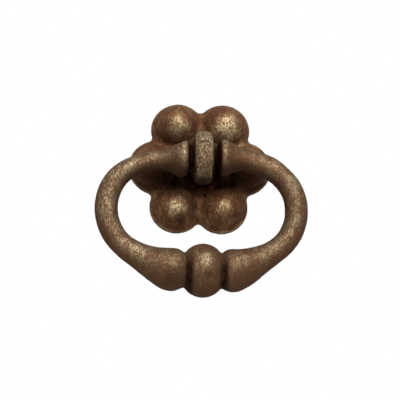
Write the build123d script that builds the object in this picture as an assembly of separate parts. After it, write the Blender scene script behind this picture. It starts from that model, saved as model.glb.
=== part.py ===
"""Drop pull for a drawer front: cast rosette, eye bolt, swinging bail, washer and nut.

Millimetres. The origin is the middle of the rosette's back plane, on the axis of the shank.
The front faces -Y, the shank runs along +Y into the drawer front, and +Z is up.
Heights (names ending in H) are measured forward from the back plane.
"""

import os
from math import cos, pi, radians, sin, sqrt, tan

from build123d import *

# Rosette: outline of six lobes with soft notches between them
LOBES = 6
LOBE_PITCH_R = 12.8
LOBE_R = 7.75
NOTCH_R = 1.3
RIM_DRAFT_DEG = 8.0
RIM_ROUND = 0.6

# Rosette: height of the crowned plate, in its middle and at the lobes' outer ends
PLATE_MID_H = 4.5
PLATE_END_H = 1.7

# Rosette: ball boss that is sunk in each lobe, and the cored pocket behind it
BALL_R = 6.3
BALL_CENTRE_H = 1.6
BALL_RIM_STRIP = 0.75
BALL_TOP_WALL = 2.3
BALL_SIDE_WALL = 3.4
POCKET_TAPER = 0.4

# Rosette: hub that the eye bolt's collar seats on, with the recess for the nut behind it
HUB_WALL = 1.9
HUB_SEAT_MARGIN = 0.4
HUB_SKIRT = 2.2
HUB_FOOT_SINK = 0.2
RECESS_CLEARANCE = 1.0
HUB_HOLE_CLEARANCE = 0.15

# Eye bolt: eye, neck, collar and threaded shank
EYE_R = 7.6
EYE_T = 5.4
EYE_ROUND = 1.7
EYE_HOLE_CHAMFER = 0.3
POST_NECK_R = 2.7
COLLAR_R = 4.0
COLLAR_T = 1.0
SHANK_R = 2.0
SHANK_OUT = 25.0
SHANK_TIP = 0.6
THREAD_PITCH = 0.7

# Washer and thin nut
WASHER_R = 4.0
WASHER_T = 0.5
WASHER_CLEARANCE = 0.15
NUT_FLATS = 7.0
NUT_T = 2.2
NUT_INSET = 0.2
NUT_CHAMFER_DEG = 30.0

# Bail: pegs that turn in the eye, and the rounded noses of the trumpet-shaped ends
PEG_R = 2.5
PEG_CLEARANCE = 0.1
PEG_GAP = 0.4
NOSE_GAP = 1.3
NOSE_L = 1.8
NOSE_FACE = 0.8
TRUMPET_R = 5.25
TRUMPET_L = 8.6

# Bail: line of the round wire, as distances below the pivot, above the bead or in from the side.
# The cast loop is not quite even: its left side stands out a little more than its right.
# The pull says how firmly the line is held level where it runs into the bead.
SIDE_X_RIGHT = 26.4
SIDE_X_LEFT = 27.2
NECK_DROP = 1.1
SHOULDER_IN = 3.25
SHOULDER_DROP = 6.05
SIDE_DROP = 15.4
BEND_IN = 3.5
BEND_LIFT = 8.25
SLOPE_IN = 11.4
SLOPE_LIFT = 2.85
PEAR_X = 8.6
PEAR_LIFT = 0.35
GROOVE_PULL = 0.6

# Bail: radius of the round section along that line, and how gently one radius runs into the next
BAIL_NECK_R = 2.66
SIDE_R = 3.28
PEAR_R = 5.95
GROOVE_R = 4.7
SWELL = 2.4
SECTIONS_PER_STRETCH = 5

# Bail: bead in the middle of the grip, below the pivot
BEAD_DROP = 32.5
BEAD_R = 7.6
BEAD_EDGE_R = 4.1
BEAD_HALF_W = 5.6
BEAD_OVERLAP = 1.0

# Sizes that follow from the ones above
FACE = Plane(origin=(0, 0, 0), x_dir=(1, 0, 0), z_dir=(0, -1, 0))
ROSETTE_REACH = LOBE_PITCH_R + LOBE_R
BALL_PITCH_R = ROSETTE_REACH - BALL_RIM_STRIP - BALL_R
BALL_TOP_H = BALL_CENTRE_H + BALL_R
NUT_BACK_H = NUT_INSET
WASHER_BACK_H = NUT_BACK_H + NUT_T
RECESS_H = WASHER_BACK_H + WASHER_T
HUB_H = RECESS_H + HUB_WALL
NUT_CORNER_R = NUT_FLATS / 2 / cos(pi / 6)
RECESS_R = max(WASHER_R, NUT_CORNER_R) + RECESS_CLEARANCE
HUB_SEAT_R = COLLAR_R + HUB_SEAT_MARGIN
HUB_FOOT_R = RECESS_R + HUB_SKIRT
PIVOT_H = HUB_H + COLLAR_T + EYE_R
PITCH_R = SHANK_R - 0.3248 * THREAD_PITCH
EYE_HOLE_R = PEG_R + PEG_CLEARANCE
NOSE_END_X = EYE_T / 2 + NOSE_GAP
NOSE_END_R = PEG_R + NOSE_FACE
TRUMPET_X = NOSE_END_X + NOSE_L


def polar(radius, angle):
    return Vector(radius * cos(angle), radius * sin(angle))


def turned(outline):
    """Solid turned about local Z from a closed outline in the local XZ plane."""
    return revolve(make_face(outline), axis=Axis.Z)


def lobed_outline():
    """Face of the rosette's outline: lobe arcs joined by the arcs of the notches."""
    step = 2 * pi / LOBES
    half = step / 2
    reach = sqrt((LOBE_R + NOTCH_R) ** 2 - (LOBE_PITCH_R * sin(half)) ** 2)
    notch_pitch = LOBE_PITCH_R * cos(half) + reach
    edges = []
    for i in range(LOBES):
        mid = i * step
        lobe = polar(LOBE_PITCH_R, mid)
        next_lobe = polar(LOBE_PITCH_R, mid + step)
        before = polar(notch_pitch, mid - half)
        after = polar(notch_pitch, mid + half)
        start = lobe + (before - lobe).normalized() * LOBE_R
        end = lobe + (after - lobe).normalized() * LOBE_R
        next_start = next_lobe + (after - next_lobe).normalized() * LOBE_R
        edges.append(ThreePointArc(start, polar(ROSETTE_REACH, mid), end))
        edges.append(ThreePointArc(end, polar(notch_pitch - NOTCH_R, mid + half), next_start))
    return make_face(edges)


def crowned_plate(outline):
    """Plate with drafted edges, a shallow crown and a rounded rim."""
    drop = PLATE_MID_H - PLATE_END_H
    crown_r = (ROSETTE_REACH ** 2 + drop ** 2) / (2 * drop)
    blank = extrude(outline, amount=PLATE_MID_H * 1.5, taper=RIM_DRAFT_DEG)
    plate = blank & Pos(0, 0, PLATE_MID_H - crown_r) * Sphere(crown_r)
    top = plate.faces().sort_by(Axis.Z)[-1]
    return fillet(top.outer_wire().edges(), radius=RIM_ROUND)


def ball_boss():
    """Ball boss turned about its own axis: its upper half, on a short stem inside the plate."""
    ball_mid = BALL_R / sqrt(2)
    stem_h = min(BALL_CENTRE_H, PLATE_END_H) / 2
    outline = [
        ThreePointArc((0, 0, BALL_TOP_H), (ball_mid, 0, BALL_CENTRE_H + ball_mid), (BALL_R, 0, BALL_CENTRE_H)),
        Polyline((BALL_R, 0, BALL_CENTRE_H), (BALL_R, 0, stem_h), (0, 0, stem_h), (0, 0, BALL_TOP_H)),
    ]
    return turned(outline)


def ball_pocket():
    """Tapered pocket with a round end that cores a ball boss from behind."""
    mouth_r = BALL_R - BALL_SIDE_WALL
    top_r = mouth_r - POCKET_TAPER
    top_h = BALL_TOP_H - BALL_TOP_WALL
    shoulder_h = top_h - top_r
    bend = top_r / sqrt(2)
    outline = [
        Polyline((0, 0, top_h), (0, 0, 0), (mouth_r, 0, 0), (top_r, 0, shoulder_h)),
        ThreePointArc((top_r, 0, shoulder_h), (bend, 0, shoulder_h + bend), (0, 0, top_h)),
    ]
    return turned(outline)


def hub_boss():
    """Low round hub: flat seat, then one soft curve out to its foot on the plate."""
    foot_h = PLATE_MID_H - HUB_FOOT_SINK
    middle = ((HUB_SEAT_R + HUB_FOOT_R) / 2, 0, (HUB_H + foot_h) / 2)
    outline = [
        Polyline((0, 0, foot_h / 2), (0, 0, HUB_H), (HUB_SEAT_R, 0, HUB_H)),
        Spline((HUB_SEAT_R, 0, HUB_H), middle, (HUB_FOOT_R, 0, foot_h), tangents=[(1, 0, 0), (1, 0, 0)]),
        Polyline((HUB_FOOT_R, 0, foot_h), (HUB_FOOT_R, 0, foot_h / 2), (0, 0, foot_h / 2)),
    ]
    return turned(outline)


def make_rosette():
    rosette = crowned_plate(lobed_outline())
    spots = PolarLocations(BALL_PITCH_R, LOBES)
    for spot in spots:
        rosette += spot * ball_boss()
    rosette += hub_boss()
    for spot in spots:
        rosette -= spot * ball_pocket()
    rosette -= Pos(0, 0, RECESS_H / 2) * Cylinder(RECESS_R, RECESS_H)
    rosette -= Pos(0, 0, HUB_H / 2) * Cylinder(SHANK_R + HUB_HOLE_CLEARANCE, HUB_H * 2)
    return FACE * rosette


def make_eye_bolt():
    """Eye, neck, collar and shank in one piece. Meshing threads are drawn to their pitch line."""
    to_pivot = Pos(0, 0, PIVOT_H) * Rot(0, 90, 0)
    bore = Cylinder(EYE_HOLE_R, EYE_T * 2)
    eye = fillet(Cylinder(EYE_R, EYE_T).edges(), radius=EYE_ROUND) - bore
    mouths = eye.edges().filter_by(lambda e: e.geom_type == GeomType.CIRCLE and e.radius < EYE_HOLE_R * 1.01)
    eye = chamfer(mouths, length=EYE_HOLE_CHAMFER)
    collar_top = HUB_H + COLLAR_T
    neck_top = PIVOT_H - EYE_R / 2
    outline = [
        Polyline(
            (0, 0, -SHANK_OUT), (SHANK_R - SHANK_TIP, 0, -SHANK_OUT), (SHANK_R, 0, SHANK_TIP - SHANK_OUT),
            (SHANK_R, 0, NUT_BACK_H), (PITCH_R, 0, NUT_BACK_H), (PITCH_R, 0, WASHER_BACK_H),
            (SHANK_R, 0, WASHER_BACK_H), (SHANK_R, 0, HUB_H), (COLLAR_R, 0, HUB_H), (COLLAR_R, 0, collar_top),
        ),
        Spline((COLLAR_R, 0, collar_top), (POST_NECK_R, 0, neck_top), tangents=[(-1, 0, 0.6), (0, 0, 1)]),
        Polyline((POST_NECK_R, 0, neck_top), (0, 0, neck_top), (0, 0, -SHANK_OUT)),
    ]
    post = turned(outline) - to_pivot * bore
    return FACE * (post + to_pivot * eye)


def make_washer():
    ring = Cylinder(WASHER_R, WASHER_T) - Cylinder(SHANK_R + WASHER_CLEARANCE, WASHER_T * 2)
    return FACE * Pos(0, 0, WASHER_BACK_H + WASHER_T / 2) * ring


def make_nut():
    """Thin hexagon nut with turned chamfers on both faces."""
    half = NUT_T / 2
    flat_r = NUT_FLATS / 2
    bevel = (NUT_CORNER_R - flat_r) * tan(radians(NUT_CHAMFER_DEG))
    hexagon = extrude(RegularPolygon(flat_r, 6, major_radius=False), amount=half, both=True)
    rounding = turned([
        Polyline(
            (0, 0, -half), (flat_r, 0, -half), (NUT_CORNER_R, 0, bevel - half),
            (NUT_CORNER_R, 0, half - bevel), (flat_r, 0, half), (0, 0, half), (0, 0, -half),
        )
    ])
    nut = (hexagon & rounding) - Cylinder(PITCH_R, NUT_T * 2)
    return FACE * Pos(0, 0, NUT_BACK_H + half) * nut


def swell(share):
    """Share of a change in radius: slow at first, then quick, and level at the end."""
    return sin(pi / 2 * share ** SWELL)


def settle(share):
    """The same change, quick at first."""
    return 1 - swell(1 - share)


def bail_half(side_x):
    """One half of the bail's wire on the +X side: round sections lofted along its line."""
    rim = Vector(TRUMPET_X, -PIVOT_H, 0)
    neck = Vector(TRUMPET_X + TRUMPET_L, -PIVOT_H, -NECK_DROP)
    shoulder = Vector(side_x - SHOULDER_IN, -PIVOT_H, -SHOULDER_DROP)
    side = Vector(side_x, -PIVOT_H, -SIDE_DROP)
    bend = Vector(side_x - BEND_IN, -PIVOT_H, BEND_LIFT - BEAD_DROP)
    slope = Vector(side_x - SLOPE_IN, -PIVOT_H, SLOPE_LIFT - BEAD_DROP)
    pear = Vector(PEAR_X, -PIVOT_H, PEAR_LIFT - BEAD_DROP)
    groove = Vector(BEAD_HALF_W - BEAD_OVERLAP, -PIVOT_H, -BEAD_DROP)
    line = Spline(
        rim, neck, shoulder, side, bend, slope, pear, groove,
        tangents=[(1, 0, 0), (-1, 0, 0)], tangent_scalars=(1, GROOVE_PULL),
    )
    stretches = [
        (rim, neck, TRUMPET_R, BAIL_NECK_R, settle),
        (neck, side, BAIL_NECK_R, SIDE_R, settle),
        (side, bend, SIDE_R, SIDE_R, swell),
        (bend, pear, SIDE_R, PEAR_R, swell),
        (pear, groove, PEAR_R, GROOVE_R, swell),
    ]
    sections = []
    for start, end, start_r, end_r, change in stretches:
        low = line.param_at_point(start)
        high = line.param_at_point(end)
        for step in range(SECTIONS_PER_STRETCH):
            share = step / SECTIONS_PER_STRETCH
            at = low + (high - low) * share
            across = Plane(origin=line.position_at(at), x_dir=(0, 1, 0), z_dir=line.tangent_at(at))
            sections.append(across * Circle(start_r + (end_r - start_r) * change(share)))
    sections.append(Plane(origin=groove, x_dir=(0, 1, 0), z_dir=(-1, 0, 0)) * Circle(GROOVE_R))
    return loft(sections)


def bail_nose():
    """Rounded end of the trumpet with its peg, turned about the pivot axis."""
    outline = [
        TangentArc((TRUMPET_X, 0, TRUMPET_R), (NOSE_END_X, 0, NOSE_END_R), tangent=(-1, 0, 0)),
        Polyline(
            (NOSE_END_X, 0, NOSE_END_R), (NOSE_END_X, 0, PEG_R), (PEG_GAP / 2, 0, PEG_R),
            (PEG_GAP / 2, 0, 0), (TRUMPET_X, 0, 0), (TRUMPET_X, 0, TRUMPET_R),
        ),
    ]
    return Pos(0, -PIVOT_H, 0) * revolve(make_face(outline), axis=Axis.X)


def bail_bead():
    """Oblate bead at the bottom of the bail, turned about a line along X."""
    left = (-BEAD_HALF_W, 0, BEAD_EDGE_R)
    right = (BEAD_HALF_W, 0, BEAD_EDGE_R)
    outline = [
        ThreePointArc(left, (0, 0, BEAD_R), right),
        Polyline(right, (BEAD_HALF_W, 0, 0), (-BEAD_HALF_W, 0, 0), left),
    ]
    return Pos(0, -PIVOT_H, -BEAD_DROP) * revolve(make_face(outline), axis=Axis.X)


def make_bail():
    right = bail_half(SIDE_X_RIGHT) + bail_nose()
    left = mirror(bail_half(SIDE_X_LEFT) + bail_nose(), about=Plane.YZ)
    return bail_bead() + right + left


def main():
    os.makedirs("parts", exist_ok=True)
    export_step(make_rosette(), "parts/rosette.step")
    export_step(make_eye_bolt(), "parts/eye_bolt.step")
    export_step(make_bail(), "parts/bail.step")
    export_step(make_washer(), "parts/washer.step")
    export_step(make_nut(), "parts/hex_nut.step")


main()
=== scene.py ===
"""Looks of a drop pull: browned cast iron with rubbed high spots, painted highlights and painted shade, a
cut screw thread and a studio stage.

The castings start as copies of the solids. They get an even skin, the small faults of a hand-made mould,
and the roughness of sand. The washer and the nut stay as they are, with a better finish.
"""

from contextlib import contextmanager
from math import cos, radians, sin

import bpy
import numpy as np
from bpy.props import FloatProperty, FloatVectorProperty, PointerProperty
from mathutils import Matrix, Vector


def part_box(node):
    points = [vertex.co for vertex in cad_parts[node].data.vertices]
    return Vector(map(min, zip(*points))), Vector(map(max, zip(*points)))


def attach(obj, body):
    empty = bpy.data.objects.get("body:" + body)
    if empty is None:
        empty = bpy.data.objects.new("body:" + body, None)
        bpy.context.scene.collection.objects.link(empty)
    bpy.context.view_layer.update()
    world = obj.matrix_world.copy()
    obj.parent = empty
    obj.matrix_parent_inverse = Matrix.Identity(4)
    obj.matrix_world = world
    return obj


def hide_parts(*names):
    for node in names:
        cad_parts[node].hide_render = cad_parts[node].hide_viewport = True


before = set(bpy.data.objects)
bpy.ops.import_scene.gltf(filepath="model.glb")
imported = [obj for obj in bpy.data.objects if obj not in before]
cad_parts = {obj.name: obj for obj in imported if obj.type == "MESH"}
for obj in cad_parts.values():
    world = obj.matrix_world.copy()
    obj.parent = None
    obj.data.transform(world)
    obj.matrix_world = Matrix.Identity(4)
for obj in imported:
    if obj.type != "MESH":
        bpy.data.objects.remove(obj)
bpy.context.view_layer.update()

bl_info = {
    "name": "Drop Pull",
    "version": (1, 0, 0),
    "blender": (4, 5, 0),
    "location": "View3D > Sidebar > Drop Pull",
    "description": "Dresses the drop pull as browned cast iron and sets up its studio",
    "category": "Object",
}

MM = 0.001
PIVOT_Y = sum(corner.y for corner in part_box("bail")) / 2
MIDDLE = Vector((0.0, -8.0, -11.0)) * MM
# Share of a spot's reach over which it has its full strength
SPOT_CORE = 0.3
# Colour sockets of a Mix node
MIX_A = 6
MIX_B = 7
MIX_RESULT = 2


def linear(hex_colour):
    """sRGB hex colour as linear red, green, blue and alpha."""
    channels = [int(hex_colour[i:i + 2], 16) / 255 for i in (0, 2, 4)]
    return [c / 12.92 if c <= 0.04045 else ((c + 0.055) / 1.055) ** 2.4 for c in channels] + [1.0]


def length(label, note, value):
    """A size property in metres, written in millimetres."""
    return FloatProperty(name=label, description=note, default=value * MM, precision=5, unit="LENGTH")


def angle(label, note, value):
    """An angle property in radians, written in degrees."""
    return FloatProperty(name=label, description=note, default=radians(value), unit="ROTATION")


def power(label, note, value):
    """A lamp's power property, written in watts."""
    return FloatProperty(name=label, description=note, default=value, unit="POWER")


def colour(label, note, hex_colour):
    """A colour property in linear light, written as sRGB hex."""
    return FloatVectorProperty(
        name=label, description=note, default=linear(hex_colour), size=4, subtype="COLOR"
    )


class DropPullCasting(bpy.types.PropertyGroup):
    """How uneven and how rough the sand castings are."""

    skin: length("Skin mesh", "Edge length of the even mesh over a casting", 0.25)
    lump_size: length("Lump size", "Width of the soft unevenness left by the mould", 3.6)
    lump_height: length("Lump height", "Height of the soft unevenness", 0.16)
    grit_size: length("Grit size", "Width of the pits left by the sand", 0.7)
    grit_height: length("Grit height", "Depth of the pits left by the sand", 0.05)
    lower_left: length("Lower lobes left", "How far the two lower lobes sit to the left", 0.3)
    lower_down: length("Lower lobes down", "How far the two lower lobes sit low", 0.4)
    upper_right: length("Upper lobe right", "How far the upper right lobe sits to the right", 0.25)


class DropPullThread(bpy.types.PropertyGroup):
    """Screw thread on the shank."""

    pitch: length("Pitch", "From one turn of the thread to the next", 0.7)
    outside: length("Outside radius", "Radius over the thread's crests", 2.0)
    root: length("Root radius", "Radius of the core between the turns", 1.58)
    plain: length("Plain radius", "Radius of the shank inside the nut", 1.76)
    crest: length("Crest", "Width of the flat on the crest", 0.1)
    run_out: length("Run-out", "Length over which the thread fades at its ends", 1.0)
    tip: length("Tip", "Length of the chamfered tip", 0.6)
    start: length("Start", "Where the shank begins, behind the collar", -3.9)
    first_turn: length("First turn", "Where the thread begins, behind the nut", 0.1)


class DropPullFinish(bpy.types.PropertyGroup):
    """Colours of the finishes."""

    # The dark colours are patina in the hollows, and are also laid on as painted shade and shadow
    rosette_dark: colour("Rosette dark", "Brown patina in the hollows of the rosette", "1A0604")
    rosette_mid: colour("Rosette brown", "Reddish brown of the rosette", "5A3828")
    rosette_pale: colour("Rosette tan", "Tan where the rosette's patina is thin", "846B4A")
    wire_dark: colour("Bail dark", "Brown patina in the grooves of the bail", "190804")
    wire_mid: colour("Bail brown", "Brown of the bail and the eye", "563B2A")
    wire_pale: colour("Bail khaki", "Greyish khaki where the bail's patina is thin", "624F39")
    # Rubbed metal is also laid on as painted highlights
    rubbed: colour("Rubbed metal", "Bright metal where hands rubbed the patina off", "BDB191")
    plating: colour("Plated steel", "Dull zinc on the washer and the nut", "9A9488")


class DropPullStage(bpy.types.PropertyGroup):
    """Camera and light of the studio."""

    azimuth: angle("Azimuth", "Camera's turn to the right", -4.3)
    elevation: angle("Elevation", "Camera's height angle", -12.875)
    roll: angle("Roll", "Clockwise turn of the picture", 0.19)
    distance: length("Distance", "Camera to the middle of the object", 700.0)
    shift: length("Shift", "How far the camera's aim is to the right of the middle", -0.44)
    lens: FloatProperty(name="Lens", description="Focal length", default=222.3, unit="CAMERA")
    key_power: power("Key light", "Power of the light from above", 5.1)
    front_power: power("Front light", "Power of the light in front", 2.6)
    fill: FloatProperty(name="Fill", description="Soft light from all round", default=0.17)
    floor_drop: length("Floor", "How far the floor is below the pivot", 380.0)
    floor_glow: FloatProperty(name="Floor glow", description="Light that the floor shows", default=0.64)


def activate(piece):
    """Selects one object alone and makes it active."""
    bpy.ops.object.select_all(action="DESELECT")
    piece.select_set(True)
    bpy.context.view_layer.objects.active = piece


@contextmanager
def editing(piece):
    """Edit mode with all of a piece selected."""
    activate(piece)
    bpy.ops.object.mode_set(mode="EDIT")
    bpy.ops.mesh.select_all(action="SELECT")
    yield
    bpy.ops.object.mode_set(mode="OBJECT")


def apply_modifier(piece, kind, **settings):
    """Adds a modifier, sets it and applies it."""
    activate(piece)
    modifier = piece.modifiers.new(kind.title(), kind)
    for name, value in settings.items():
        setattr(modifier, name, value)
    bpy.ops.object.modifier_apply(modifier=modifier.name)


def copy_node(node, name):
    """A free copy of a CAD node with its triangles merged."""
    activate(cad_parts[node])
    bpy.ops.object.duplicate()
    piece = bpy.context.object
    piece.parent = None
    piece.matrix_world = Matrix.Identity(4)
    for key in list(piece.keys()):
        del piece[key]
    piece.name = name
    piece.data.name = name
    piece.data.materials.clear()
    with editing(piece):
        bpy.ops.mesh.remove_doubles(threshold=0.002 * MM)
    return piece


def points_of(piece):
    """Place of each point of a piece."""
    points = np.empty(len(piece.data.vertices) * 3)
    piece.data.vertices.foreach_get("co", points)
    return points.reshape(-1, 3)


def places_of(piece):
    """How far across, deep and up each point of a piece is, in millimetres."""
    return points_of(piece).T / MM


def normals_of(piece):
    """Normal of each point of a piece."""
    normals = np.empty(len(piece.data.vertices) * 3)
    piece.data.vertices.foreach_get("normal", normals)
    return normals.reshape(-1, 3)


def move_points(piece, points):
    """Puts each point of a piece in its new place."""
    piece.data.vertices.foreach_set("co", points.ravel())
    piece.data.update()


def ramp(values, low, high):
    """Smooth step from zero at low to one at high."""
    share = np.clip((values - low) / (high - low), 0, 1)
    return share * share * (3 - 2 * share)


def near(away, reach):
    """One close to a place, fading to zero at the reach."""
    return ramp(-away, -reach, -SPOT_CORE * reach)


def spots(across, up, marks):
    """Strongest of several round marks, each with its place across and up, its reach and its strength."""
    shades = []
    for mark_across, mark_up, reach, strength in marks:
        away = np.hypot(across - mark_across, up - mark_up)
        shades.append(strength * near(away, reach))
    return np.maximum.reduce(shades)


def store(piece, name, values):
    """Keeps one number for each point as an attribute that a material can read."""
    layer = piece.data.attributes.new(name, "FLOAT", "POINT")
    layer.data.foreach_set("value", np.asarray(values, dtype=np.float32))


def add_relief(piece):
    """Marks ridges above and hollows below the smoothed form, in millimetres."""
    activate(piece)
    bpy.ops.object.duplicate()
    soft = bpy.context.object
    apply_modifier(soft, "SMOOTH", factor=0.5, iterations=160)
    offset = points_of(piece) - points_of(soft)
    relief = (offset * normals_of(piece)).sum(axis=1) / MM
    store(piece, "relief", relief)
    activate(soft)
    bpy.ops.object.delete()
    return relief


def soften(piece, where, passes):
    """Rounds a piece off at the given points, as a worn mould does."""
    group = piece.vertex_groups.new(name="soft")
    group.add(np.flatnonzero(where).tolist(), 1.0, "REPLACE")
    apply_modifier(piece, "SMOOTH", factor=0.5, iterations=passes, vertex_group=group.name)


def roughen(piece, free):
    """Raises lumps and sinks pits where the surface was left as cast."""
    casting = bpy.context.scene.drop_pull_casting
    group = piece.vertex_groups.new(name="as_cast")
    group.add(np.flatnonzero(free).tolist(), 1.0, "REPLACE")
    lumps = bpy.data.textures.new("mould_lumps", "CLOUDS")
    lumps.noise_scale = casting.lump_size
    lumps.noise_depth = 2
    grit = bpy.data.textures.new("sand_grit", "CLOUDS")
    grit.noise_scale = casting.grit_size
    grit.noise_depth = 1
    for texture, height in ((lumps, casting.lump_height), (grit, casting.grit_height)):
        apply_modifier(
            piece, "DISPLACE", texture=texture, texture_coords="LOCAL", strength=height,
            mid_level=0.62, vertex_group=group.name,
        )
    activate(piece)
    bpy.ops.object.shade_smooth()


def even_skin(piece):
    """Covers a piece with an even mesh that is fine enough to roughen."""
    apply_modifier(piece, "REMESH", mode="VOXEL", voxel_size=bpy.context.scene.drop_pull_casting.skin)
    apply_modifier(piece, "SMOOTH", factor=0.5, iterations=3)


def warp_rosette(piece):
    """Sets the two lower lobes low and to the left, and the upper right one to the right."""
    casting = bpy.context.scene.drop_pull_casting
    hub_to_ball = (5.0, 11.0)
    middle_to_ball = (0.0, 7.0)
    points = points_of(piece)
    across, _, up = places_of(piece)
    lower = ramp(-up, *hub_to_ball)
    upper_right = ramp(up, *hub_to_ball) * ramp(across, *middle_to_ball)
    points[:, 0] += casting.upper_right * upper_right - casting.lower_left * lower
    points[:, 2] -= casting.lower_down * lower
    move_points(piece, points)


def reshape_bail(piece, changes):
    """Moves the upper and lower skin of the bail up or down, each by its own height in millimetres."""
    half_height = 12.0
    beside_pegs = (4.5, 5.0)
    across, depth, up = places_of(piece)
    rise = normals_of(piece)[:, 2]
    free = ramp(np.abs(across), *beside_pegs)
    for change_across, change_up, reach, upper, lower in changes:
        level = np.abs(up - change_up) < half_height
        share = level * free * near(np.abs(across - change_across), reach)
        up += share * np.where(rise > 0, upper, -lower) * rise
    move_points(piece, np.column_stack((across, depth, up)) * MM)


def add_node(tree, kind, links=None, **settings):
    """Adds a shader node, sets it, and fills its inputs with values or links."""
    node = tree.nodes.new(kind)
    for name, value in settings.items():
        setattr(node, name, value)
    for socket, value in (links or {}).items():
        if isinstance(value, bpy.types.NodeSocket):
            tree.links.new(value, node.inputs[socket])
        else:
            node.inputs[socket].default_value = value
    return node


def new_material(name):
    """An empty material with its shader and output; returns the material, its tree and the shader."""
    material = bpy.data.materials.new(name)
    material.use_nodes = True
    tree = material.node_tree
    tree.nodes.clear()
    shader = add_node(tree, "ShaderNodeBsdfPrincipled")
    add_node(tree, "ShaderNodeOutputMaterial", {"Surface": shader.outputs[0]})
    return material, tree, shader


def browned_iron(name, dark, mid, pale, rubbed, hollow_dirt):
    """Browned and waxed cast iron: a satin reddish-brown skin, dark in the hollows,
    with fine pale specks of metal, drawn out upright, that glint where hands have rubbed the high spots.
    The attribute for rubbed wear also lays painted highlights into the colour, and the attribute for grime
    also lays painted shade and shadow into it.
    The hollow dirt is the share of the dark colour in the deepest hollows."""
    # Width in millimetres and detail of the blotches, the mottling and the grain
    patterns = ((5.0, 3.0), (1.5, 4.0), (0.42, 2.0))
    streak = 1.8
    deepest_hollow = -0.45
    grain_depth = 0.11 * MM
    grain_in_tone = 1.2
    grain_in_specks = 2.5
    thinned_by_rub = 0.7
    smoothed_by_rub = -0.12
    dulled_by_dirt_and_shade = -0.55
    material, tree, shader = new_material(name)
    spot = add_node(tree, "ShaderNodeTexCoord").outputs["Object"]
    place = add_node(tree, "ShaderNodeMapping", {"Vector": spot, "Scale": (1, 1, 1 / streak)}).outputs[0]
    relief = add_node(tree, "ShaderNodeAttribute", attribute_name="relief").outputs["Fac"]
    # Rubbed wear, and painted highlights where the light falls
    wear_and_sheen = add_node(tree, "ShaderNodeAttribute", attribute_name="wear_and_sheen").outputs["Fac"]
    # Grime, and painted shade and shadow where the light does not reach
    grime_and_shade = add_node(tree, "ShaderNodeAttribute", attribute_name="grime_and_shade").outputs["Fac"]
    noises = []
    for size, detail in patterns:
        noise = add_node(
            tree, "ShaderNodeTexNoise",
            {"Vector": place, "Scale": 1 / (size * MM), "Detail": detail, "Roughness": 0.6},
        )
        noises.append(noise.outputs["Fac"])
    blotch, mottle, grain = noises
    broad = add_node(tree, "ShaderNodeMath", {0: blotch, 1: mottle}, operation="ADD").outputs[0]
    tone = add_node(
        tree, "ShaderNodeMath", {0: grain, 1: grain_in_tone, 2: broad}, operation="MULTIPLY_ADD"
    ).outputs[0]
    thin = add_node(
        tree, "ShaderNodeMapRange", {"Value": tone, "From Min": 1.48, "From Max": 1.98}
    ).outputs[0]
    hollow = add_node(
        tree, "ShaderNodeMapRange",
        {"Value": relief, "From Min": 0.0, "From Max": deepest_hollow, "To Max": hollow_dirt},
        interpolation_type="SMOOTHSTEP",
    ).outputs[0]
    patchy = add_node(
        tree, "ShaderNodeMapRange", {"Value": mottle, "From Min": 0.35, "From Max": 0.6, "To Min": 0.7}
    ).outputs[0]
    caked_grime_and_shade = add_node(tree, "ShaderNodeMath", {0: grime_and_shade, 1: patchy}, operation="MULTIPLY").outputs[0]
    # Dark share: patina in the hollows, grime, and painted shade
    dirt = add_node(
        tree, "ShaderNodeMath", {0: hollow, 1: caked_grime_and_shade}, operation="MAXIMUM", use_clamp=True
    ).outputs[0]
    fine = add_node(
        tree, "ShaderNodeMath", {0: grain, 1: grain_in_specks, 2: broad}, operation="MULTIPLY_ADD"
    ).outputs[0]
    specks = add_node(
        tree, "ShaderNodeMapRange", {"Value": fine, "From Min": 2.1, "From Max": 2.75}
    ).outputs[0]
    bright = add_node(tree, "ShaderNodeMath", {0: wear_and_sheen, 1: specks}, operation="MULTIPLY").outputs[0]
    thinned = add_node(
        tree, "ShaderNodeMath", {0: wear_and_sheen, 1: thinned_by_rub, 2: thin},
        operation="MULTIPLY_ADD", use_clamp=True,
    ).outputs[0]
    patina = add_node(
        tree, "ShaderNodeMix", {0: thinned, MIX_A: mid, MIX_B: pale}, data_type="RGBA"
    ).outputs[MIX_RESULT]
    worn = add_node(
        tree, "ShaderNodeMix", {0: bright, MIX_A: patina, MIX_B: rubbed}, data_type="RGBA"
    ).outputs[MIX_RESULT]
    skin = add_node(
        tree, "ShaderNodeMix", {0: dirt, MIX_A: worn, MIX_B: dark}, data_type="RGBA"
    ).outputs[MIX_RESULT]
    rough = add_node(
        tree, "ShaderNodeMapRange", {"Value": dirt, "To Min": 0.56, "To Max": 0.85}
    ).outputs[0]
    gloss = add_node(
        tree, "ShaderNodeMath", {0: bright, 1: smoothed_by_rub, 2: rough}, operation="MULTIPLY_ADD"
    ).outputs[0]
    bare = add_node(
        tree, "ShaderNodeMapRange", {"Value": bright, "To Min": 0.55, "To Max": 0.85}
    ).outputs[0]
    metal = add_node(
        tree, "ShaderNodeMath", {0: dirt, 1: dulled_by_dirt_and_shade, 2: bare}, operation="MULTIPLY_ADD"
    ).outputs[0]
    height = add_node(tree, "ShaderNodeMath", {0: grain, 1: mottle}, operation="ADD").outputs[0]
    bump = add_node(
        tree, "ShaderNodeBump", {"Height": height, "Strength": 1.0, "Distance": grain_depth}
    ).outputs[0]
    tree.links.new(skin, shader.inputs["Base Color"])
    tree.links.new(gloss, shader.inputs["Roughness"])
    tree.links.new(metal, shader.inputs["Metallic"])
    tree.links.new(bump, shader.inputs["Normal"])
    shader.inputs["Specular IOR Level"].default_value = 0.18
    shader.inputs["Specular Tint"].default_value = linear("8C6A50")
    return material


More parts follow.
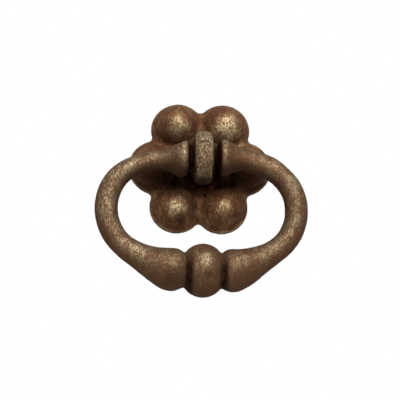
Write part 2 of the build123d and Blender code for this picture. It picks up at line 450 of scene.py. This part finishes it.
def plated_steel(name, plating):
    """Zinc-plated steel, dulled in the drawer: grey metal with a slight cloudy bloom."""
    bloom_size = 0.9 * MM
    material, tree, shader = new_material(name)
    place = add_node(tree, "ShaderNodeTexCoord").outputs["Object"]
    bloom = add_node(
        tree, "ShaderNodeTexNoise", {"Vector": place, "Scale": 1 / bloom_size, "Detail": 4.0}
    ).outputs["Fac"]
    value = add_node(
        tree, "ShaderNodeMapRange", {"Value": bloom, "To Min": 0.6, "To Max": 1.15}
    ).outputs[0]
    shade = add_node(tree, "ShaderNodeHueSaturation", {"Value": value, "Color": plating}).outputs[0]
    gloss = add_node(
        tree, "ShaderNodeMapRange", {"Value": bloom, "To Min": 0.3, "To Max": 0.55}
    ).outputs[0]
    tree.links.new(shade, shader.inputs["Base Color"])
    tree.links.new(gloss, shader.inputs["Roughness"])
    shader.inputs["Metallic"].default_value = 1.0
    return material


def dress(piece, node, body, material):
    """Gives a finished piece its material, hides the CAD node it stands for, and hangs the piece on its
    body.
    """
    piece.data.materials.append(material)
    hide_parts(node)
    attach(piece, body)


def cut_off_shank(piece, start):
    """Cuts the plain shank off behind the collar and closes the cut."""
    with editing(piece):
        bpy.ops.mesh.bisect(plane_co=(0, start, 0), plane_no=(0, 1, 0), use_fill=True, clear_outer=True)


def mark_shank(piece, thread):
    """Wear of the shank: bare crests, and dirt left between the turns."""
    crest_rub = 0.3
    root_grime = 0.5
    points = points_of(piece)
    height = np.hypot(points[:, 0], points[:, 2]) - thread.root
    depth = thread.outside - thread.root
    store(piece, "relief", (height - depth / 2) / MM)
    store(piece, "wear_and_sheen", crest_rub * ramp(height, depth / 2, depth))
    store(piece, "grime_and_shade", root_grime * ramp(-height, -depth / 2, 0.0))
    with editing(piece):
        bpy.ops.mesh.normals_make_consistent(inside=False)
    return piece


def shank_core(thread):
    """Core of the shank: plain inside the nut, then down to the thread's root, with a chamfered tip."""
    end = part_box("eye_bolt")[1].y
    bpy.ops.object.select_all(action="DESELECT")
    bpy.ops.mesh.primitive_circle_add(
        vertices=48, radius=thread.plain, fill_type="NGON",
        location=(0, thread.start, 0), rotation=(radians(90), 0, 0),
    )
    core = bpy.context.object
    bpy.ops.object.transform_apply()
    stations = (
        (thread.first_turn, thread.plain),
        (thread.first_turn + thread.pitch / 2, thread.root),
        (end - thread.tip / 2, thread.root),
        (end, thread.outside - thread.tip),
    )
    at = thread.start
    radius = thread.plain
    with editing(core):
        for station, station_radius in stations:
            bpy.ops.mesh.extrude_region_move(TRANSFORM_OT_translate={"value": (0, station - at, 0)})
            share = station_radius / radius
            bpy.ops.transform.resize(value=(share, 1, share), center_override=(0, 0, 0))
            at = station
            radius = station_radius
    bpy.ops.object.shade_smooth_by_angle(angle=radians(20))
    return mark_shank(core, thread)


def shank_ridge(thread):
    """Ridge of the thread, wound round the core and faded out at both ends."""
    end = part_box("eye_bolt")[1].y
    overlap = 0.06 * MM
    foot_share = 0.88
    sunk = thread.root - overlap
    half = foot_share * thread.pitch / 2
    first = thread.first_turn + half
    turns = int((end - thread.tip - half - first) / thread.pitch)
    bpy.ops.object.select_all(action="DESELECT")
    bpy.ops.mesh.primitive_circle_add(vertices=4, fill_type="NOTHING")
    ridge = bpy.context.object
    outline = (
        (sunk, first - half), (thread.outside, first - thread.crest / 2),
        (thread.outside, first + thread.crest / 2), (sunk, first + half),
    )
    for point, (out, along) in zip(ridge.data.vertices, outline):
        point.co = (out, along, 0)
    apply_modifier(
        ridge, "SCREW", axis="Y", screw_offset=thread.pitch, iterations=turns, steps=30, render_steps=30,
    )
    with editing(ridge):
        bpy.ops.mesh.fill_holes(sides=4)
    points = points_of(ridge)
    out = np.hypot(points[:, 0], points[:, 2])
    from_end = np.minimum(points[:, 1] - points[:, 1].min(), points[:, 1].max() - points[:, 1])
    faded = sunk + (out - sunk) * ramp(from_end, 0.0, thread.run_out)
    points[:, [0, 2]] *= (faded / out)[:, None]
    move_points(ridge, points)
    bpy.ops.object.shade_flat()
    return mark_shank(ridge, thread)


class DROPPULL_OT_rosette(bpy.types.Operator):
    """Casts the rosette with its six balls"""

    bl_idname = "drop_pull.rosette"
    bl_label = "Rosette"

    # Across, up, reach and strength of each spot, in millimetres. The rubbed spots on the balls' tops are
    # also painted highlights; the lower balls' spots sit low, below the arms' shadow.
    wear_and_highlight_spots = (
        (-7.0, 10.9, 3.6, 0.45), (7.4, 10.6, 5.2, 0.6), (-6.6, -13.0, 4.0, 0.85), (6.6, -13.0, 3.0, 0.35),
        (-13.5, 0.0, 3.4, 0.3), (13.5, 0.0, 3.4, 0.3),
    )
    stains = (
        (-5.7, -15.8, 2.2, 0.8), (1.4, -8.6, 0.7, 1.0), (10.2, -14.4, 1.8, 0.5), (-11.0, -7.6, 2.4, 0.6),
        (0.0, 12.0, 5.0, 0.25), (-13.0, 8.0, 4.0, 0.5), (13.6, 7.6, 3.0, 0.3), (-9.0, 8.5, 6.0, 0.4),
        (-8.5, -4.6, 6.0, 1.0), (-3.0, -5.8, 3.8, 1.2), (4.5, -5.6, 3.8, 1.1), (8.5, -4.2, 5.8, 1.0),
    # The four marks on this line, just below the arms, are painted shadow
    )
    # Smoothing of the valleys between the upper balls and between the lower ones: half width and passes
    valleys = ((2.6, 200), (3.6, 80))
    # The valleys begin this far from the middle, and lie in front of this depth
    valley_height = 8.5
    valley_depth = -1.8
    # Hollows deeper than this are rounded off
    hollow = -0.04
    hollow_passes = 60
    # The back and the collar's seat stay smooth, and the grime of the back is even
    back_depth = -0.4
    seat_radius = 5.2
    grime_depth = -1.0
    back_grime = 0.5
    # From where a mark begins to where it is full, in millimetres
    ridge = (0.15, 0.5)
    rim_front = (-2.2, -1.4)
    rim_back = (0.3, 0.8)
    # The hub and arm shades are painted shade and shadow
    hub_shade = (-9.0, -5.5)
    arm_shade_bottom = (-9.0, -6.8)
    arm_shade_top = (-3.0, 1.0)
    arm_shade_side = (-18.0, -12.0)

    def execute(self, context):
        finish = context.scene.drop_pull_finish
        piece = copy_node("rosette", "cast_rosette")
        even_skin(piece)
        warp_rosette(piece)
        relief = add_relief(piece)
        across, depth, up = places_of(piece)
        from_axis = np.hypot(across, up)
        front = (depth < self.back_depth) & (from_axis > self.seat_radius)
        ridges = 0.3 * ramp(relief, *self.ridge)
        edge = 0.65 * ramp(depth, *self.rim_front) * ramp(-depth, *self.rim_back)
        wear_and_sheen = np.maximum.reduce([ridges, edge, spots(across, up, self.wear_and_highlight_spots)])
        store(piece, "wear_and_sheen", wear_and_sheen * front)
        # Painted shadow: a dark band on the plate just below the arms, stronger towards the middle, and
        # painted shade round the hub behind the eye
        inward = 0.45 + 0.4 * ramp(-np.abs(across), *self.arm_shade_side)
        under_arms = inward * ramp(up, *self.arm_shade_bottom) * ramp(-up, *self.arm_shade_top)
        hub = 1.4 * ramp(-from_axis, *self.hub_shade)
        grime_and_shade = np.maximum.reduce([hub, under_arms, spots(across, up, self.stains)])
        store(piece, "grime_and_shade", np.where(depth < self.grime_depth, grime_and_shade, self.back_grime))
        soften(piece, front & (relief < self.hollow), self.hollow_passes)
        face = front & (depth < self.valley_depth) & (np.abs(up) > self.valley_height)
        for half_width, passes in self.valleys:
            soften(piece, face & (np.abs(across) < half_width), passes)
        roughen(piece, front)
        material = browned_iron(
            "browned_iron_rosette", finish.rosette_dark, finish.rosette_mid, finish.rosette_pale,
            finish.rubbed, hollow_dirt=0.12,
        )
        dress(piece, "rosette", "post", material)
        return {"FINISHED"}


class DROPPULL_OT_bail(bpy.types.Operator):
    """Casts the bail with its bead and pegs"""

    bl_idname = "drop_pull.bail"
    bl_label = "Bail"

    # Where the mould was uneven: across, up, reach, and the change above and below, in millimetres
    uneven = (
        (-9.0, 0.0, 5.5, -1.2, -0.6), (17.0, 0.0, 8.5, 0.75, -0.5),
        (-10.5, -33.0, 4.5, 0.0, -0.35), (8.5, -33.0, 4.5, 0.0, -0.3),
    )
    # Across, up, reach and strength of each spot, in millimetres. The rubbed spots on the bead and the
    # flares are also painted highlights on their upper fronts.
    wear_and_highlight_spots = ((0.6, -30.5, 3.2, 0.36), (-7.3, -31.4, 2.6, 0.25), (11.0, -30.7, 3.6, 0.35))
    stains = ((0.9, -34.8, 1.8, 0.4), (-8.5, -35.0, 4.0, 0.35))
    # Lowest part of the arms, highest part of the grip, and the root of the pegs
    arms_above = -9.0
    grip_below = -24.0
    peg_root = 4.6
    # The left and the right one of the trumpets' faces and of the grooves beside the bead
    faces = (4.7, 5.3)
    grooves = (-4.2, 5.7)
    nose_width = 0.8
    # From where a mark begins to where it is full, in millimetres
    bearing_shade = (0.0, 0.5)
    trumpet_shade = (-16.0, -10.0)
    groove_shade = (-1.9, -0.3)
    lower_half = (28.0, 33.0)
    # The nose bands place a painted highlight on the upper part of each trumpet's rim
    nose_glint_band = (-1.0, -0.3)
    nose_glint_height = (-4.5, 0.0)
    bend_rub = (12.0, 20.0)

    def execute(self, context):
        finish = context.scene.drop_pull_finish
        piece = copy_node("bail", "cast_bail")
        even_skin(piece)
        reshape_bail(piece, self.uneven)
        add_relief(piece)
        across, _, up = places_of(piece)
        normals = normals_of(piece)
        left = across < 0
        from_middle = np.abs(across)
        arms = up > self.arms_above
        grip = up < self.grip_below
        face_at = np.where(left, *self.faces)
        groove_at = np.where(left, *self.grooves)
        forward = ramp(-normals[:, 1], 0.1, 0.6)
        behind = 0.26 * ramp(normals[:, 1], 0.0, 0.8)
        bends = 0.4 + 0.6 * ramp(from_middle, *self.bend_rub)
        # Painted highlight: upper front faces paler and more metallic, more on the left, as the light
        # falls, with wear from hands
        wear_and_top_sheen = np.where(left, 0.43, 0.25) * bends * ramp(normals @ (0.0, -0.8, 0.6), 0.2, 1.0)
        # Painted highlight: a bright stripe along the upper part of each trumpet's rim
        rims = ramp(-np.abs(from_middle - face_at - self.nose_width), *self.nose_glint_band)
        nose_glints = 0.75 * arms * rims * ramp(up, *self.nose_glint_height)
        # Bright spots on the bead and the flares: wear, and painted highlights on their upper fronts
        rubbed = forward * spots(across, up, self.wear_and_highlight_spots)
        store(piece, "wear_and_sheen", np.maximum.reduce([wear_and_top_sheen, nose_glints, behind, rubbed]))
        # Painted shade: the trumpets' end faces and the pegs, in the gaps beside the eye, made dark
        bearing = 1.3 * arms * ramp(face_at - from_middle, *self.bearing_shade)
        trumpet = 0.45 + 0.15 * ramp(-from_middle, *self.trumpet_shade)
        # Painted shade: the downward faces of the arms made darker
        under_arms = arms * trumpet * ramp(-normals[:, 2], -0.1, 0.9)
        # Painted shade: dark bands on the flanks beside the bead that face away from the light, darker
        # towards the bottom
        low = 0.3 + 0.7 * ramp(-up, *self.lower_half)
        painted_groove_shade = grip * low * ramp(-np.abs(across - groove_at), *self.groove_shade)
        stained = forward * spots(across, up, self.stains)
        store(piece, "grime_and_shade", np.maximum.reduce([bearing, under_arms, painted_groove_shade, stained]))
        pegs = arms & (from_middle < self.peg_root)
        roughen(piece, ~pegs)
        material = browned_iron(
            "browned_iron_bail", finish.wire_dark, finish.wire_mid, finish.wire_pale,
            finish.rubbed, hollow_dirt=0.3,
        )
        dress(piece, "bail", "bail", material)
        return {"FINISHED"}


class DROPPULL_OT_eye_bolt(bpy.types.Operator):
    """Casts the eye with its neck and collar, and cuts the thread on its shank"""

    bl_idname = "drop_pull.eye_bolt"
    bl_label = "Eye bolt"

    # Round the pivot: outside the first radius the ring is rounded off, inside the second it is a bearing
    ring_radius = 5.2
    bearing_radius = 3.4
    ring_passes = 30
    # Depths: behind the first the ring keeps its form, behind the second the collar stays smooth
    ring_back = -8.0
    collar_front = -6.2
    # Arched line across the front of the eye: its height in the middle, and how far out it has dropped 1 mm
    arch_height = 3.1
    arch_half_width = 1.7
    # Half width of the eye's front between its rounded edges
    front_half_width = 2.0
    # From where a mark begins to where it is full, in millimetres
    arch_step = (-0.2, 0.2)
    arch_line = (-0.5, -0.1)
    edge_rub = (-0.6, -0.1)
    cheek_shade = (2.3, 2.65)
    panel_top = (0.2, 0.8)
    panel_side = (-1.9, -1.4)
    bottom_shade = (5.6, 7.4)
    side_height = (1.5, 5.0)
    side_shade = (1.8, 2.4)
    back_shade = (-11.0, -8.0)

    def execute(self, context):
        finish = context.scene.drop_pull_finish
        thread = context.scene.drop_pull_thread
        piece = copy_node("eye_bolt", "cast_eye_bolt")
        cut_off_shank(piece, thread.start)
        even_skin(piece)
        _, depth, up = places_of(piece)
        ring = np.hypot(depth - PIVOT_Y / MM, up) > self.ring_radius
        soften(piece, ring & (depth < self.ring_back), self.ring_passes)
        add_relief(piece)
        across, depth, up = places_of(piece)
        normals = normals_of(piece)
        beside = np.abs(across)
        arch = up - self.arch_height + (across / self.arch_half_width) ** 4
        forward = ramp(-normals[:, 1], 0.2, 0.6)
        # Paler top of the eye above the arched line: wear, and painted highlight where the ring's top faces
        # the light
        worn_and_lit_top = 0.55 * forward * ramp(arch, *self.arch_step)
        edges = 0.55 * forward * ramp(-np.abs(beside - self.front_half_width), *self.edge_rub)
        store(piece, "wear_and_sheen", np.maximum.reduce([worn_and_lit_top, edges, 0.42 * forward]))
        # Painted shade: the eye's side faces, in the gaps beside the trumpets, made dark
        painted_cheek_shade = ramp(beside, *self.cheek_shade) * ramp(-np.abs(normals[:, 0]), -0.95, -0.6)
        line = 0.8 * forward * ramp(-np.abs(arch), *self.arch_line)
        panel = 0.25 * forward * ramp(-arch, *self.panel_top) * ramp(-beside, *self.panel_side)
        # Painted shade: the bottom of the eye, its lower sides and its back made darker
        below = 0.8 * ramp(-up, *self.bottom_shade)
        lower_side_shade = 0.8 * ramp(-up, *self.side_height) * ramp(beside, *self.side_shade)
        behind = ramp(depth, *self.back_shade)
        store(piece, "grime_and_shade", np.maximum.reduce([painted_cheek_shade, line, panel, below, lower_side_shade, behind]))
        bearing = np.hypot(depth - PIVOT_Y / MM, up) < self.bearing_radius
        roughen(piece, (depth < self.collar_front) & ~bearing)
        for shank in (shank_core(thread), shank_ridge(thread)):
            activate(piece)
            shank.select_set(True)
            bpy.ops.object.join()
        material = browned_iron(
            "browned_iron_eye", finish.wire_dark, finish.wire_mid, finish.wire_pale,
            finish.rubbed, hollow_dirt=0.4,
        )
        dress(piece, "eye_bolt", "post", material)
        return {"FINISHED"}


class DROPPULL_OT_fixings(bpy.types.Operator):
    """Finishes the washer and the nut behind the hub"""

    bl_idname = "drop_pull.fixings"
    bl_label = "Washer and nut"

    def execute(self, context):
        steel = plated_steel("zinc_plated_steel", context.scene.drop_pull_finish.plating)
        for node in ("washer", "hex_nut"):
            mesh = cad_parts[node].data
            mesh.materials.clear()
            mesh.materials.append(steel)
        return {"FINISHED"}


def seen_directly(tree):
    """One where a ray comes from the camera or from a mirror or glass reflection, else zero."""
    path = add_node(tree, "ShaderNodeLightPath")
    either = add_node(
        tree, "ShaderNodeMath",
        {0: path.outputs["Is Camera Ray"], 1: path.outputs["Is Glossy Ray"]}, operation="MAXIMUM",
    ).outputs[0]
    return add_node(
        tree, "ShaderNodeMath",
        {0: either, 1: path.outputs["Is Transmission Ray"]}, operation="MAXIMUM",
    ).outputs[0]


def white_floor(stage):
    """Plain pale floor, far below the object, that fades into the white of the studio."""
    bpy.ops.object.select_all(action="DESELECT")
    bpy.ops.mesh.primitive_plane_add(size=6.0, location=(0, 0, -stage.floor_drop))
    floor = bpy.context.object
    floor.name = "floor"
    bpy.ops.object.transform_apply(location=True)
    material, tree, shader = new_material("pale_studio_floor")
    glow = add_node(
        tree, "ShaderNodeMath", {0: seen_directly(tree), 1: stage.floor_glow}, operation="MULTIPLY"
    ).outputs[0]
    tree.links.new(glow, shader.inputs["Emission Strength"])
    shader.inputs["Emission Color"].default_value = linear("FFFFFF")
    shader.inputs["Base Color"].default_value = linear("C8C6C3")
    shader.inputs["Roughness"].default_value = 0.9
    floor.data.materials.append(material)


def soft_world(stage):
    """White where it is looked at, and a soft dim fill where it lights."""
    world = bpy.data.worlds.new("studio")
    world.use_nodes = True
    tree = world.node_tree
    tree.nodes.clear()
    strength = add_node(
        tree, "ShaderNodeMapRange", {"Value": seen_directly(tree), "To Min": stage.fill, "To Max": 1.0}
    ).outputs[0]
    sky = add_node(tree, "ShaderNodeBackground", {"Color": linear("FFFFFF"), "Strength": strength})
    add_node(tree, "ShaderNodeOutputWorld", {"Surface": sky.outputs[0]})
    bpy.context.scene.world = world


def studio_lights(stage):
    """Broad soft light from above, and a smaller one in front that glints on the balls."""
    # Name, place and width in metres, and power
    lights = (
        ("key_light", (0.12, -0.60, 0.52), 0.34, stage.key_power),
        ("front_light", (0.0, -0.74, 0.16), 0.16, stage.front_power),
    )
    for name, place, width, watts in lights:
        bpy.ops.object.light_add(type="AREA", location=place)
        light = bpy.context.object
        light.name = name
        light.data.shape = "DISK"
        light.data.size = width
        light.data.energy = watts
        aim = MIDDLE - light.location
        light.rotation_euler = aim.to_track_quat("-Z", "Y").to_euler()


def photo_camera(stage):
    """Camera at the photograph's angle: a little from the left and from below."""
    bpy.ops.object.camera_add()
    camera = bpy.context.object
    camera.name = "camera"
    turn = stage.azimuth
    rise = stage.elevation
    aim = MIDDLE + Vector((stage.shift, 0, 0))
    back = Vector((sin(turn) * cos(rise), -cos(turn) * cos(rise), sin(rise)))
    facing = (-back).to_track_quat("-Z", "Y").to_matrix().to_4x4()
    roll = Matrix.Rotation(stage.roll, 4, "Z")
    camera.matrix_world = Matrix.Translation(aim + back * stage.distance) @ facing @ roll
    camera.data.lens = stage.lens
    camera.data.sensor_width = 36.0
    camera.data.clip_end = 20.0
    bpy.context.scene.camera = camera


class DROPPULL_OT_stage(bpy.types.Operator):
    """Sets up the floor, the light and the camera"""

    bl_idname = "drop_pull.stage"
    bl_label = "Studio"

    def execute(self, context):
        stage = context.scene.drop_pull_stage
        white_floor(stage)
        soft_world(stage)
        studio_lights(stage)
        photo_camera(stage)
        context.scene.view_settings.view_transform = "Standard"
        return {"FINISHED"}


class DROPPULL_PT_panel(bpy.types.Panel):
    """Lists the pieces and their settings"""

    bl_idname = "DROPPULL_PT_panel"
    bl_label = "Drop Pull"
    bl_space_type = "VIEW_3D"
    bl_region_type = "UI"
    bl_category = "Drop Pull"

    def draw(self, context):
        layout = self.layout
        for operator in OPERATORS:
            layout.operator(operator.bl_idname)
        for group in GROUPS:
            settings = getattr(context.scene, group)
            box = layout.box()
            for name in settings.__annotations__:
                box.prop(settings, name)


GROUPS = {
    "drop_pull_casting": DropPullCasting,
    "drop_pull_thread": DropPullThread,
    "drop_pull_finish": DropPullFinish,
    "drop_pull_stage": DropPullStage,
}
OPERATORS = (
    DROPPULL_OT_rosette,
    DROPPULL_OT_bail,
    DROPPULL_OT_eye_bolt,
    DROPPULL_OT_fixings,
    DROPPULL_OT_stage,
)


def register():
    """Adds the settings, the operators and the panel."""
    for name, group in GROUPS.items():
        bpy.utils.register_class(group)
        setattr(bpy.types.Scene, name, PointerProperty(type=group))
    for cls in OPERATORS + (DROPPULL_PT_panel,):
        bpy.utils.register_class(cls)


def unregister():
    """Takes the panel, the operators and the settings away again."""
    for cls in (DROPPULL_PT_panel,) + OPERATORS[::-1]:
        bpy.utils.unregister_class(cls)
    for name, group in GROUPS.items():
        delattr(bpy.types.Scene, name)
        bpy.utils.unregister_class(group)


def main():
    """Makes the pieces and the stage in order."""
    register()
    bpy.ops.drop_pull.rosette()
    bpy.ops.drop_pull.bail()
    bpy.ops.drop_pull.eye_bolt()
    bpy.ops.drop_pull.fixings()
    bpy.ops.drop_pull.stage()


if __name__ == "__main__":
    main()
